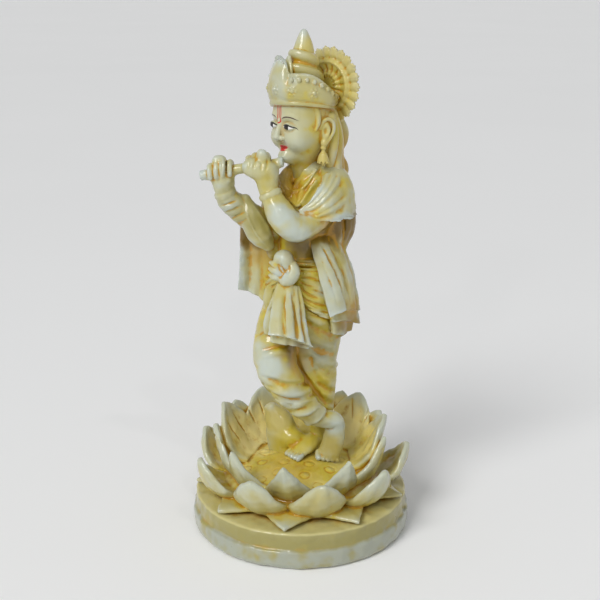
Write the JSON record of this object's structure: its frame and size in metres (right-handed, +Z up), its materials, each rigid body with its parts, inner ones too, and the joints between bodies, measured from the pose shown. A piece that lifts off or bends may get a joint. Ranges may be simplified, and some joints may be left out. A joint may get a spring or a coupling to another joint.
{
  "type": "krishna figure",
  "caption": "Cast figurine of Krishna playing the flute with one leg crossed, in a crown with a feather fan and draped scarf and sash, standing in an open lotus on a round stepped plinth.",
  "frame": {"origin": "middle of the round plinth's underside", "axes": "+Z up to the crown's finial; the chest faces -Y and the flute reaches out to -X"},
  "size_m": [0.09, 0.09, 0.2],
  "materials": {
    "marble_dust_resin": "ivory cast marble-dust resin with a mustard wash in the hollows under a glossy varnish; brows, eyes, lips and forehead mark painted"
  },
  "bodies": {
    "root": {"krishna_figure": "marble_dust_resin"}
  },
  "joints": []
}
